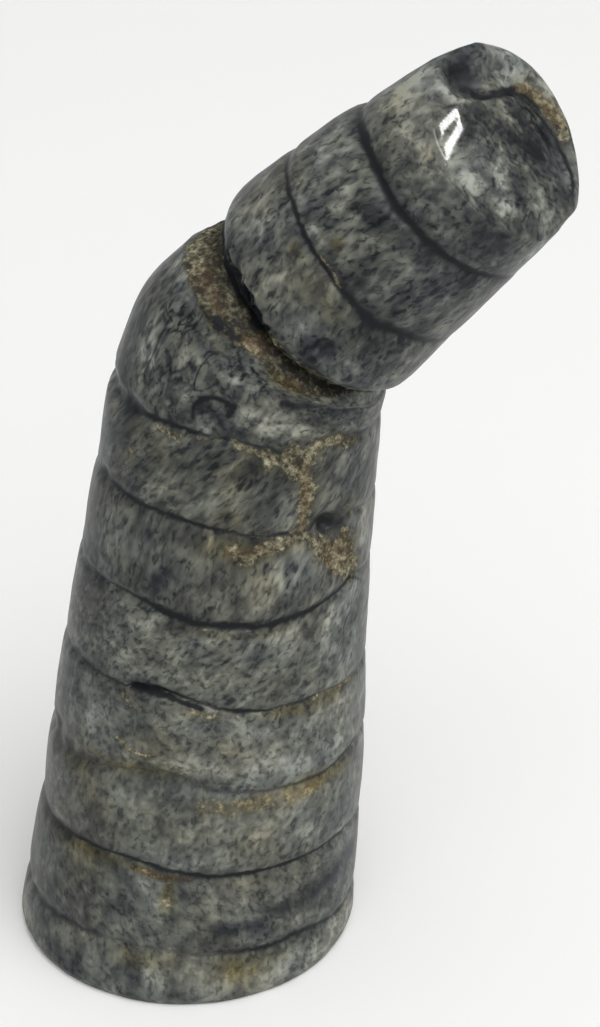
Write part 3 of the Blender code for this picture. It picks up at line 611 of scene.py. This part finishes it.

# Broader and fainter ones over the whole side, the tone of each chamber, and narrow streaks. Some
# broad ones are painted light and shade: darker down the left side, lighter on the right of the
# lower part, and painted shade under the upper part's lower right.
BROAD_TONES_LIGHT_AND_SHADE = (
    (12, 200, 14, 9, -0.5), (34, 196, 10, 6, -0.5), (50, 200, 12, 6, -0.5), (68, 200, 8, 6, -0.5),
    (30, 290, 12, 12, 0.3), (50, 320, 10, 5, 0.3), (84, 195, 5, 6, -0.4), (118, 300, 8, 6, -0.3),
    (99, 310, 6, 5, -0.15), (108, 312, 5, 5, -0.15), (97, 240, 6, 14, 0.2),
    (79.1, 234, 1.3, 1.8, 0.8), (77, 203, 1.6, 2.6, -0.5), (77, 342, 2, 4, -0.4),
    (30.7, 292, 1.5, 3, -0.3), (21.2, 269, 1.5, 3, -0.3), (20.8, 294, 1.5, 3, -0.3),
    (59.6, 226, 2, 3, -0.25), (50.5, 231, 2, 3, -0.25), (32.7, 326, 2, 4, 0.3),
    (120.2, 256, 2, 3, -0.25), (116.3, 270, 2.5, 3.5, -0.5), (82, 235, 5, 12, -0.12),
    (88.3, 250, 1, 1.6, -0.5), (110, 194, 6, 5, 0.4), (102, 205, 6, 5, 0.35),
    (81, 217, 3, 4, 0.5), (79, 189, 5, 2.5, -0.9), (2, 300, 2, 14, 0.5), (3, 338, 2, 4, 0.6),
    (85.5, 203, 1.5, 3, 0.4), (70.5, 252, 1.8, 2.5, 0.5), (79, 264, 1.2, 1.4, 1.0),
    (1.4, 228, 1.5, 5, -0.5), (5.2, 274, 1.2, 3, 0.5), (17, 335, 2, 4, 0.5),
    (82, 302, 5, 6, -0.45), (90, 310, 3, 6, -0.4), (98.6, 283, 3, 4, -0.8),
    (96, 259, 1.5, 2.2, -0.5), (100.6, 293, 2, 3, -0.5), (95, 288, 1.8, 3, -0.35),
    (96.4, 306, 2, 3, -0.3), (106, 290, 4, 4, 0.2), (36.2, 292, 2.5, 4, -0.25),
    (66.5, 274, 2, 4, 0.4), (60, 299, 4, 3, 0.45), (59, 256, 2, 3, 0.3), (47, 270, 2.5, 6, 0.3),
    (42, 277, 1.5, 4, 0.3), (57, 198, 4, 3, -0.3), (36, 205, 4, 5, -0.3), (14, 238, 2.5, 5, 0.25),
    (16, 296, 1.5, 4, 0.5), (27.1, 303, 1.2, 3.0, 0.9), (43.5, 304, 2, 3, -0.4),
    (12.8, 260.5, 1, 0.9, 1.0), (16.8, 251, 0.8, 0.9, 0.8),
)
tone += sum(strength * patch(*where) for *where, strength in BROAD_TONES_LIGHT_AND_SHADE)
CHAMBER_TONES = (0.29, 0.0, 0.2, 0.24, 0.12, -0.08, 0.0, 0.0, -0.08, 0.16)
tone += np.array(CHAMBER_TONES)[chamber]
STREAKS = (                 # strength, half width in mm, course
    (0.45, 1.2, (26.4, 271), (26.5, 284), (26.6, 296), (27.4, 313)),
    (0.9, 0.5, (86.6, 186), (86.8, 197), (86.9, 209)),
    (0.6, 0.35, (86.9, 216), (86.6, 225)),
    (0.7, 0.3, (104.2, 226), (104.3, 236)),
    (-1.3, 0.9, (89.6, 257), (89.5, 266), (89.2, 277), (89.3, 304)),
    (1.0, 0.8, (88.3, 184), (88.8, 194), (88.0, 200)),
    (-0.6, 0.9, (90.4, 180), (90.8, 204)),
)
tone += sum(strength * stroke(width, *course) for strength, width, *course in STREAKS)

# The two lowest chambers are blotched, and so is the one above the eighth wall.
tone += 0.8 * lumps(1.8, 31) * np.interp(along, (0, 6, 16, 19), (1, 1, 0.7, 0)) * on_side
tone += 0.5 * lumps(2.6, 32) * (chamber == 8)

# The sawn base shows the shell's wall as a dark ring and, in the middle, the tube that joined the
# chambers, filled with pale calcite.
SHELL_SHARE = 0.93          # where the shell's wall begins, as a share of the radius
TUBE_SHARE, TUBE_WALL = 0.1, 1.25
shell_wall = share > SHELL_SHARE
tube_wall = (share > TUBE_SHARE) & (share < TUBE_WALL * TUBE_SHARE)
ink = np.maximum(ink, on_base * (0.6 * shell_wall + 0.9 * tube_wall))
tone += 0.8 * on_base * (share < TUBE_SHARE)

# How crisp the flecks are: the stone turns milky towards the wide end.
CRISP = ((0, 0.55), (25, 0.6), (50, 0.75), (80, 0.85), (105, 0.88), (114, 0.75))
CRISP_ENDS = 0.78           # on the worn end and the base
crisp = np.where(on_side, np.interp(along, *np.array(CRISP).T), CRISP_ENDS)
crisp -= 0.35 * patch(100.0, 258, 2.2, 5) + 0.08 * patch(82, 235, 5, 10)

# Worm-like dark veins, thick in the wedge-shaped chamber under the break.
WORMS = ((82, 214, 4.5, 8, 1.1), (80, 238, 3, 4, 0.9), (81, 120, 4, 12, 0.8),
         (79.1, 234, 1.5, 2.5, -1.0))
worms = 0.25 + sum(strength * patch(*where) for *where, strength in WORMS)
worms = np.clip(worms + 0.5 * end_patch(0.4, 300, 6), 0, 1)

# Ochre: iron that has soaked into the stone below the walls and beside the cracks.
STAINS = (
    (4.4, 252, 0.9, 2.4, 0.9), (4.2, 263, 0.9, 2.5, 0.6), (3.6, 286, 1.1, 2.4, 1.0),
    (3.0, 292, 1, 2, 0.8), (4.1, 298, 0.8, 3, 0.5), (16.8, 259, 0.9, 2.8, 0.3),
    (13.8, 261, 2.4, 0.9, 1.3), (16.3, 214, 1.2, 5, 0.8), (16.9, 236, 0.9, 5, 0.8),
    (14.5, 228, 2.5, 4, 0.35), (16, 292, 1, 5, 0.3), (26.5, 210, 1.6, 6, 0.8),
    (29.2, 232, 1.0, 5, 0.9), (29.9, 250, 0.8, 4, 0.8), (23.8, 225, 1.8, 4, 0.5),
    (25.9, 276, 1.2, 3.5, 0.35), (26.4, 288, 1.3, 3.5, 0.35), (27.2, 302, 1.2, 3.5, 0.5),
    (28.1, 314, 1.2, 3.5, 1.0), (28.2, 328, 1.2, 3, 0.9), (22, 250, 2.5, 5, 0.3),
    (22.5, 290, 2, 5, 0.3), (40.2, 236, 1.2, 2, 0.5), (39.6, 300, 0.9, 3.5, 1.0),
    (39.8, 320, 0.9, 3.5, 1.0), (39.6, 266, 1, 3, 0.6), (34.5, 245, 3, 5, 0.4),
    (35, 275, 2, 4, 0.3), (42, 255, 0.6, 3, 0.4), (54, 262, 0.8, 4, 0.5), (54, 284, 0.8, 3, 0.5),
    (46, 270, 2.5, 6, 0.25), (44, 312, 2, 4, 0.2), (63.7, 262, 1.2, 4, 0.6),
    (63.5, 275, 1.2, 2.5, 0.9), (64, 292, 1, 3, 0.8), (60.5, 281, 2.5, 3.5, 0.35),
    (66.8, 267, 1.2, 1.5, 0.7), (71, 267, 2.2, 1.8, 0.4), (70, 240, 3.5, 9, 0.3),
    (73, 222, 1.2, 3, 0.5), (69.8, 219, 0.7, 0.7, 0.8), (73.3, 280, 1.2, 5, 0.5),
    (66.3, 325, 1, 2.4, 0.8), (76, 316, 1, 2.5, 0.5), (86.4, 273, 1.3, 3, 0.9),
    (88.3, 250, 1, 1.6, 0.6), (85.5, 240, 1, 2.4, 0.5), (86.3, 290, 1.2, 3, 0.6),
    (101, 229, 0.9, 0.9, 1.1), (100.0, 258, 2.2, 5, 0.5), (101, 264, 1.4, 2, 0.35),
    (109.5, 189, 1.4, 1.5, 0.4), (105.5, 240, 0.8, 0.9, 1.2), (118.5, 184, 1.6, 2, 0.35),
    (122, 228, 1.2, 1, 0.4), (104.5, 196, 1, 2, 0.35), (16, 60, 1.2, 6, 0.6),
    (15.5, 140, 1.2, 6, 0.6), (4, 100, 1, 6, 0.6), (27, 100, 1.5, 6, 0.8),
    (39.5, 40, 1.2, 5, 0.5), (39.5, 165, 1.2, 4, 0.7), (54, 70, 1, 6, 0.6),
    (64, 120, 1.2, 6, 0.8), (73.5, 62, 1.8, 3, 0.8), (86, 60, 1.3, 4, 0.4),
    (86, 120, 1.4, 5, 0.4), (101, 95, 1.2, 4, 0.7), (111.5, 60, 1, 4, 0.4),
    (70, 160, 2.5, 5, 0.3),
)
ochre = sum(strength * patch(*where) for *where, strength in STAINS)
ochre = np.clip(ochre + 0.7 * end_stroke(1.3, (0.66, 88), (0.72, 64), (0.78, 44)), 0, 1)

# The worn end: a low dome with the rim of the next chamber standing behind it.
END_DOME = 0.8
END_ROUND = 0.8
END_ROUND_WIDTH = 0.1
RIM_HEIGHT = 1.1
RIM_ANGLE = 82
RIM_REACH = 88
RIM_CREST = 0.86
RIM_SLOPE = 0.2
RIM_TROUGH = 1.1
RIM_TROUGH_PLACE = 0.58
END_SHOULDER = 1.5          # mm worn off the upper left edge
END_SHOULDER_ANGLE = 224
END_SHOULDER_REACH = 32
END_SHOULDER_INSIDE = 0.45  # share of the radius where the wear begins
WEAR_LENGTH = 7             # mm that it runs down the side
WEAR_SIDE_SHARE = 0.7       # how deep it is there
END_SPOTS = ((0.93, 148, 2.2, 1.0), (0.74, 172, 1.9, -1.8), (0.55, 162, 1.5, -1.0))
END_GROOVE = ((0.5, 178), (0.43, 156), (0.42, 138), (0.46, 118), (0.6, 94), (0.65, 75),
              (0.7, 62), (0.75, 49), (0.79, 36), (0.83, 24), (0.87, 12))
END_GROOVE_DEPTH = 0.35
END_RIDGE = ((0.93, 187), (0.81, 196), (0.64, 196), (0.5, 184))
END_RIDGE_HEIGHT = 0.4
turn = np.clip(turn_from(RIM_ANGLE) / RIM_REACH, -1, 1)
inner = RIM_SLOPE * np.sqrt(1 - abs(turn)) + 1e-6
outer = 1.6 * (1 - RIM_CREST)
rim = np.exp(-((share - RIM_CREST) / np.where(share < RIM_CREST, inner, outer)) ** 2)
trough = np.exp(-((share - RIM_TROUGH_PLACE - 0.3 * turn ** 2) / RIM_SLOPE) ** 2)
end_height = END_DOME * (1 - share ** 2) + END_ROUND * (1 - np.exp((share - 1) / END_ROUND_WIDTH))
end_height += (1 - turn ** 4) * (RIM_HEIGHT * rim - RIM_TROUGH * trough)
shoulder = END_SHOULDER * np.exp(-(turn_from(END_SHOULDER_ANGLE) / END_SHOULDER_REACH) ** 2)
inside = np.clip((share - END_SHOULDER_INSIDE) / (1 - END_SHOULDER_INSIDE), 0, 1)
end_height -= shoulder * inside ** 2
wear = shoulder * np.clip((along - length + WEAR_LENGTH) / WEAR_LENGTH, 0, 1) ** 2
raised -= WEAR_SIDE_SHARE * wear * on_side
for reach, around, size, height in END_SPOTS:
    end_height += height * end_patch(reach, around, size)
end_height -= END_GROOVE_DEPTH * end_stroke(0.45, *END_GROOVE)
end_height += END_RIDGE_HEIGHT * end_stroke(0.5, *END_RIDGE)
end_height += 0.06 * lumps(2.5, 11) + CRUST_ROUGHNESS * crust * lumps(0.9, 10)

# Every point is moved to its place: out along its ring, then up on the end. The worn end moves in
# or out with the edge that it meets.
sag = laid[:, 6] * (0.5 - 0.5 * np.sin(angle)) ** 2
on_edge = on_side & (ring_index == last_ring)
order = np.argsort(degrees[on_edge])
rim_raised = np.interp(degrees, degrees[on_edge][order], raised[on_edge][order], period=360)
reach = (radius + np.where(on_end, rim_raised, raised)) * share
place_mm = laid[:, :3] + outward * reach[:, None]
place_mm += facing * (end_height * on_end - wear * on_side - sag)[:, None]

# One more facet is ground on the end's upper left edge. A window's light lies on it as a narrow
# ring, which is polished brighter than the rest.
FACET_FACING = np.array((0.12, -0.72, 0.68))
FACET_DEPTH = 0.14          # mm
FACET_ROUGHNESS = 0.02      # mm
FACET_REACH = 5             # mm from its middle
FACET_SHARE, FACET_ANGLE = 0.89, math.radians(224)
facet_x = TIP_FACE.radius * FACET_SHARE * math.cos(FACET_ANGLE)
facet_y = TIP_FACE.radius * FACET_SHARE * math.sin(FACET_ANGLE)
apart = np.where(on_end, np.hypot(end_x - facet_x, end_y - facet_y), 99.0)
centre_mm = place_mm[np.argmin(apart)]
proud = (place_mm - centre_mm) @ FACET_FACING + FACET_DEPTH + FACET_ROUGHNESS * lumps(0.9, 14)
proud *= np.linalg.norm(place_mm - centre_mm, axis=1) < FACET_REACH
place_mm -= FACET_FACING * np.clip(proud, 0, None)[:, None]
GLINT = (                   # half width in mm, course
    (0.6, (0.76, 207), (0.87, 214), (0.94, 219), (0.99, 226), (0.99, 233)),
    (0.75, (0.98, 237), (0.93, 234)),
    (0.65, (0.93, 234), (0.86, 229), (0.8, 224), (0.73, 215), (0.71, 210), (0.76, 207)),
)
gloss = np.maximum.reduce([end_stroke(width, *course) for width, *course in GLINT])
gloss = np.clip((gloss - 0.35) / 0.3, 0, 1)

# The polish is dulled around that ring, on the rim, in the hollow and along the break's edge.
matt = end_patch(0.88, 222, 6.5) + end_patch(0.92, 155, 3) + end_patch(0.82, 28, 2)
matt += patch(121, 224, 4, 9) + 2 * patch(41.7, 244, 1.0, 3.5)
matt = np.clip(matt + stroke(1.2, (86.8, 224), (86.8, 236), (87.2, 246)), 0, 1)
solid_low, solid_high = (np.array(side) for side in solid_box)
mesh.vertices.foreach_set("co", np.clip(place_mm * MM, solid_low, solid_high).reshape(-1))
mesh.update()
mesh.shade_smooth()
fossil = bpy.data.objects.new("fossil_stone", mesh)
bpy.context.collection.objects.link(fossil)

# The grain. Flecks of calcite lie along the shell, leaning a little in each chamber: degrees that
# they lean, and how many times longer than wide they are.
GRAIN = ((-8, 0.9), (-12, 1.2), (8, 1.2), (5, 1.2), (14, 1.4), (12, 1.5), (34, 1.4), (0, 1.1),
         (10, 1.6), (0, 1.6))
UPPER_GRAIN = (-10, 1.4)    # of the chamber above the break
END_GRAIN = 3.0             # mm, how far the grain of the worn end cuts across the shell's
upper = (chamber == 7) & (along > places[CREVICE])
lean = np.radians(np.where(upper, UPPER_GRAIN[0], np.array(GRAIN)[chamber, 0]))
stretch = np.where(upper, UPPER_GRAIN[1], np.array(GRAIN)[chamber, 1])
twisted = angle - np.tan(lean) * along / radius.mean()
grain = np.stack([radius * share * np.cos(twisted), radius * share * np.sin(twisted),
                  (along + (end_height - END_GRAIN * (1 - share)) * on_end) / stretch], axis=1)
grain += (chamber + 0.5 * upper)[:, None] * np.array((31.0, 17.0, 23.0))
mesh.attributes.new("grain", "FLOAT_VECTOR", "POINT").data.foreach_set("vector", grain.reshape(-1))
FIELDS = {
    "ink": ink, "crust": crust, "earth": np.maximum(sediment, halo), "rust": rust, "tone": tone,
    "ochre": ochre, "worms": worms, "crisp": crisp, "gloss": gloss, "matt": matt,
    "sawn": on_base * 1.0,
}
for name, amount in FIELDS.items():
    mesh.attributes.new(name, "FLOAT", "POINT").data.foreach_set("value", amount)

# Polished limestone: grey calcite with blue-black flecks, ground smooth and waxed, so it shines
# softly. Crusts of sediment stay dull and grainy, and the sawn base is only matt.
stone = bpy.data.materials.new("polished limestone")
stone.use_nodes = True
tree = stone.node_tree
shader = tree.nodes["Principled BSDF"]
COLOUR_A, COLOUR_B, COLOUR_OUT = 6, 7, 2        # sockets of a Mix node that mixes colours


def linear(hex_colour):
    """An sRGB hex colour as a linear one."""
    parts = [int(hex_colour[i:i + 2], 16) / 255 for i in (1, 3, 5)]
    parts = (c / 12.92 if c <= 0.04045 else ((c + 0.055) / 1.055) ** 2.4 for c in parts)
    return (*parts, 1.0)


def add(kind, feeds, stops=(), **settings):
    """Adds a node: what feeds each socket, a link or a value, its settings and a ramp's stops."""
    made = tree.nodes.new("ShaderNode" + kind)
    for name, value in settings.items():
        setattr(made, name, value)
    for socket, value in feeds.items():
        if isinstance(value, bpy.types.NodeSocket):
            tree.links.new(value, made.inputs[socket])
        else:
            made.inputs[socket].default_value = value
    for index, (place, colour) in enumerate(stops):
        ramp = made.color_ramp.elements
        stop = ramp[index] if index < 2 else ramp.new(place)
        stop.position, stop.color = place, linear(colour)
    return made.outputs


held = {name: add("Attribute", {}, attribute_name=name)["Fac"] for name in FIELDS}
grain_at = add("Attribute", {}, attribute_name="grain")["Vector"]
stone_at = add("TexCoord", {})["Object"]

# Noises: what each follows, its cells to the millimetre, detail, roughness and distortion.
# Clouds are 4 to 6 mm, pale blots 1 to 2 mm, flecks 0.3 by 1 mm and grains of crust 0.3 to 0.6 mm.
NOISES = (
    ("hues", stone_at, 0.12 / MM, 1, 0.5, 0.0),
    ("clouds", grain_at, 0.2, 2, 0.5, 0.0),
    ("blots", grain_at, 0.55, 1.5, 0.5, 0.4),
    ("flecks", grain_at, 1.4, 2, 0.5, 0.5),
    ("clusters", grain_at, 0.4, 1, 0.5, 0.0),
    ("winding", grain_at, 0.36, 1.2, 0.5, 1.0),
    ("gaps", grain_at, 0.7, 1, 0.5, 0.0),
    ("grit", stone_at, 1.9 / MM, 3, 0.6, 0.0),
    ("rags", stone_at, 0.7 / MM, 4, 0.65, 0.0),
)
noises = {}
for name, follows, cells, detail, roughness, distortion in NOISES:
    noises[name] = add("TexNoise", {"Vector": follows, "Scale": cells, "Detail": detail,
                                    "Roughness": roughness, "Distortion": distortion})["Fac"]

# Dark flecks come in clusters. Winding veins lie where a noise crosses its mean, with gaps in them.
flecked = add("MapRange", {"Value": noises["flecks"], "From Min": 0.5, "From Max": 0.7},
              interpolation_type="SMOOTHSTEP")[0]
clustered = add("MapRange", {"Value": noises["clusters"], "From Min": 0.35, "From Max": 0.6,
                             "To Min": 0.25})[0]
flecked = add("Math", {0: flecked, 1: clustered}, operation="MULTIPLY")[0]
flecked = add("Math", {0: flecked, 1: held["crisp"]}, operation="MULTIPLY")[0]
fine = -0.545
for value, weight in ((noises["clouds"], 0.75), (noises["blots"], 0.8), (noises["flecks"], -0.46)):
    fine = add("Math", {0: value, 1: weight, 2: fine}, operation="MULTIPLY_ADD")[0]
fine = add("Math", {0: fine, 1: held["crisp"]}, operation="MULTIPLY")[0]
veins = add("Math", {0: noises["winding"], 1: 0.5}, operation="SUBTRACT")[0]
veins = add("Math", {0: veins}, operation="ABSOLUTE")[0]
veins = add("MapRange", {"Value": veins, "From Min": 0.02, "From Max": 0.11, "To Min": 1.0,
                         "To Max": 0.0}, interpolation_type="SMOOTHSTEP")[0]
gaps = add("MapRange", {"Value": noises["gaps"], "From Min": 0.38, "From Max": 0.5})[0]
veins = add("Math", {0: veins, 1: gaps}, operation="MULTIPLY")[0]
veins = add("Math", {0: veins, 1: held["worms"]}, operation="MULTIPLY")[0]

# The saw has left straight marks across the base. At this scale they lie 0.8 mm apart.
SAW_SCALE = 0.39 / MM
saw_marks = add("TexWave", {"Vector": stone_at, "Scale": SAW_SCALE})["Fac"]
saw_marks = add("Math", {0: saw_marks, 1: held["sawn"]}, operation="MULTIPLY")[0]

# The stone's shade is a sum of them, from dark blue-grey to pale olive-grey.
shade = 0.595
for value, weight in ((fine, 1.0), (flecked, -0.26), (veins, -0.26), (held["tone"], 0.22),
                      (saw_marks, 0.05)):
    shade = add("Math", {0: value, 1: weight, 2: shade}, operation="MULTIPLY_ADD")[0]
STONE = ((0.1, "#111418"), (0.95, "#A1A49B"), (0.33, "#2A2D30"), (0.52, "#484B49"),
         (0.7, "#696C66"))
COOL, WARM = linear("#FAFCFF"), linear("#FFFAF2")
colour = add("ValToRGB", {"Fac": shade}, stops=STONE)["Color"]
warmth = add("MapRange", {"Value": noises["hues"], "From Min": 0.35, "From Max": 0.65})[0]
hue = add("Mix", {0: warmth, COLOUR_A: COOL, COLOUR_B: WARM}, data_type="RGBA")[COLOUR_OUT]
colour = add("Mix", {0: 1.0, COLOUR_A: colour, COLOUR_B: hue}, data_type="RGBA",
             blend_type="MULTIPLY")[COLOUR_OUT]

# Sediment in the break: brown-grey and earthy. Crusts: the same, in coarser and paler grains.
ragged = -0.8
for value, weight in ((noises["rags"], 2.6), (noises["grit"], 1.2)):
    ragged = add("Math", {0: value, 1: weight, 2: ragged}, operation="MULTIPLY_ADD")[0]
earthy = add("Math", {0: ragged, 1: held["earth"]}, operation="MULTIPLY")[0]
earthy = add("MapRange", {"Value": earthy, "From Min": 0.1, "From Max": 0.9},
             interpolation_type="SMOOTHSTEP")[0]
crusted = add("Math", {0: ragged, 1: held["crust"]}, operation="MULTIPLY")[0]
crusted = add("MapRange", {"Value": crusted, "From Min": 0.25, "From Max": 0.85},
              interpolation_type="SMOOTHSTEP")[0]
earth_shade = -0.97
for value, weight in ((noises["grit"], 1.25), (noises["rags"], 1.5), (held["rust"], -0.04),
                      (held["tone"], 0.18)):
    earth_shade = add("Math", {0: value, 1: weight, 2: earth_shade}, operation="MULTIPLY_ADD")[0]
crust_shade = -0.82
for value, weight in ((noises["grit"], 1.3), (noises["rags"], 1.4), (held["rust"], -0.08),
                      (held["tone"], 0.1)):
    crust_shade = add("Math", {0: value, 1: weight, 2: crust_shade}, operation="MULTIPLY_ADD")[0]
EARTH = ((0.12, "#12120D"), (0.95, "#98957E"), (0.34, "#323026"), (0.52, "#504D3E"),
         (0.7, "#6E6B58"))
CRUST = ((0.12, "#15140F"), (0.95, "#ABA68E"), (0.34, "#3A372A"), (0.52, "#5B5745"),
         (0.7, "#7E7963"))
RUST = linear("#664C2E")
rusted = add("Math", {0: held["rust"], 1: 0.5}, operation="MULTIPLY")[0]
earths = []
for look, stops in ((earth_shade, EARTH), (crust_shade, CRUST)):
    grains = add("ValToRGB", {"Fac": look}, stops=stops)["Color"]
    earths.append(add("Mix", {0: rusted, COLOUR_A: grains, COLOUR_B: RUST},
                      data_type="RGBA")[COLOUR_OUT])
colour = add("Mix", {0: earthy, COLOUR_A: colour, COLOUR_B: earths[0]},
             data_type="RGBA")[COLOUR_OUT]

# Ochre has soaked into the pale stone more than into the dark flecks.
OCHRE = linear("#F1E2B4")
soak = add("MapRange", {"Value": noises["blots"], "From Min": 0.35, "From Max": 0.6,
                        "To Min": 0.65})[0]
soak = add("Math", {0: held["ochre"], 1: soak}, operation="MULTIPLY", use_clamp=True)[0]
soaked = add("Mix", {0: 1.0, COLOUR_A: colour, COLOUR_B: OCHRE}, data_type="RGBA",
             blend_type="MULTIPLY")[COLOUR_OUT]
colour = add("Mix", {0: soak, COLOUR_A: colour, COLOUR_B: soaked}, data_type="RGBA")[COLOUR_OUT]
colour = add("Mix", {0: crusted, COLOUR_A: colour, COLOUR_B: earths[1]},
             data_type="RGBA")[COLOUR_OUT]

# Dark calcite of the walls and veins, with painted shade in the crevice, hollows, chips and pit,
# its edges frayed by the flecks.
CALCITE_AND_PAINTED_SHADE = linear("#13161A")
frayed = 0.35
for value, weight in ((noises["flecks"], 0.5), (noises["blots"], 0.8)):
    frayed = add("Math", {0: value, 1: weight, 2: frayed}, operation="MULTIPLY_ADD")[0]
walls_and_shade = add("Math", {0: frayed, 1: held["ink"]}, operation="MULTIPLY")[0]
walls_and_shade = add("MapRange", {"Value": walls_and_shade, "From Min": 0.15, "From Max": 0.95, "To Max": 0.97},
           interpolation_type="SMOOTHSTEP")[0]
colour = add("Mix", {0: walls_and_shade, COLOUR_A: colour, COLOUR_B: CALCITE_AND_PAINTED_SHADE}, data_type="RGBA")[COLOUR_OUT]
tree.links.new(colour, shader.inputs["Base Color"])

# Roughness of the worn polish, the glint on the facet, sediment and pits, and the saw cut.
POLISHED, GLOSSY, DULL, SAWN = 0.36, 0.12, 0.85, 0.55
unpolished = add("Math", {0: earthy, 1: crusted}, operation="MAXIMUM")[0]
roughness = add("MapRange", {"Value": unpolished, "To Min": POLISHED, "To Max": DULL})[0]
roughness = add("MapRange", {"Value": held["sawn"], "To Min": roughness, "To Max": SAWN})[0]
roughness = add("MapRange", {"Value": held["matt"], "To Min": roughness, "To Max": DULL})[0]
roughness = add("MapRange", {"Value": held["gloss"], "To Min": roughness, "To Max": GLOSSY})[0]
tree.links.new(roughness, shader.inputs["Roughness"])
shader.inputs["IOR"].default_value = 1.5
shader.inputs["Specular IOR Level"].default_value = 0.13
GRIT_HEIGHT = 0.25 * MM
grit_height = add("Math", {0: noises["grit"], 1: unpolished}, operation="MULTIPLY")[0]
fine_height = add("Math", {0: saw_marks, 1: 0.3, 2: grit_height}, operation="MULTIPLY_ADD")[0]
bump = add("Bump", {"Height": fine_height, "Strength": 0.55, "Distance": GRIT_HEIGHT})["Normal"]
tree.links.new(bump, shader.inputs["Normal"])
mesh.materials.append(stone)
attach(fossil, "root")
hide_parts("fossil")

# The floor: a sheet of matt white paper, wide enough to fill every view.
floor_mesh = bpy.data.meshes.new("floor")
sheet = bmesh.new()
bmesh.ops.create_grid(sheet, x_segments=1, y_segments=1, size=3.0)
sheet.to_mesh(floor_mesh)
sheet.free()
floor = bpy.data.objects.new("floor", floor_mesh)
bpy.context.collection.objects.link(floor)
paper = bpy.data.materials.new("matt white paper")
paper.use_nodes = True
paper.node_tree.nodes["Principled BSDF"].inputs["Base Color"].default_value = linear("#FCFCFB")
paper.node_tree.nodes["Principled BSDF"].inputs["Roughness"].default_value = 0.9
floor_mesh.materials.append(paper)
floor.location.z = -0.0002

# The studio: a soft sky, a large softbox overhead and a window behind.
world = bpy.data.worlds.new("studio")
bpy.context.scene.world = world
world.use_nodes = True
world.node_tree.nodes["Background"].inputs["Color"].default_value = (1, 1, 1, 1)
world.node_tree.nodes["Background"].inputs["Strength"].default_value = 0.62


def softbox(name, spot, aim, size, power):
    """A square area light that shines from a spot at an aim, all in metres and watts."""
    light = bpy.data.lights.new(name, "AREA")
    light.size = size
    light.energy = power
    lamp = bpy.data.objects.new(name, light)
    lamp.location = spot
    lamp.rotation_euler = (Vector(aim) - Vector(spot)).to_track_quat("-Z", "Y").to_euler()
    bpy.context.collection.objects.link(lamp)
    return lamp


softbox("overhead", (0.4, -0.55, 1.1), (0.015, 0, 0.06), 1.2, 9)
glint = softbox("window", (0.3, -0.43, 0.95), (0.034, -0.005, 0.112), 0.3, 24)
glint.visible_diffuse = False

# The camera looks down on the fossil from the front, a little under half a metre away.
AIM = Vector((0.01484, 0, 0.0596))
DISTANCE = 0.4
ELEVATION = math.radians(31)
towards = Vector((0, -math.cos(ELEVATION), math.sin(ELEVATION)))
lens = bpy.data.cameras.new("camera")
lens.lens = 113.9
lens.sensor_width = 36
lens.clip_start = 0.02
camera = bpy.data.objects.new("camera", lens)
camera.location = AIM + DISTANCE * towards
camera.rotation_euler = towards.to_track_quat("Z", "Y").to_euler()
bpy.context.collection.objects.link(camera)
bpy.context.scene.camera = camera
bpy.context.scene.view_settings.view_transform = "Standard"
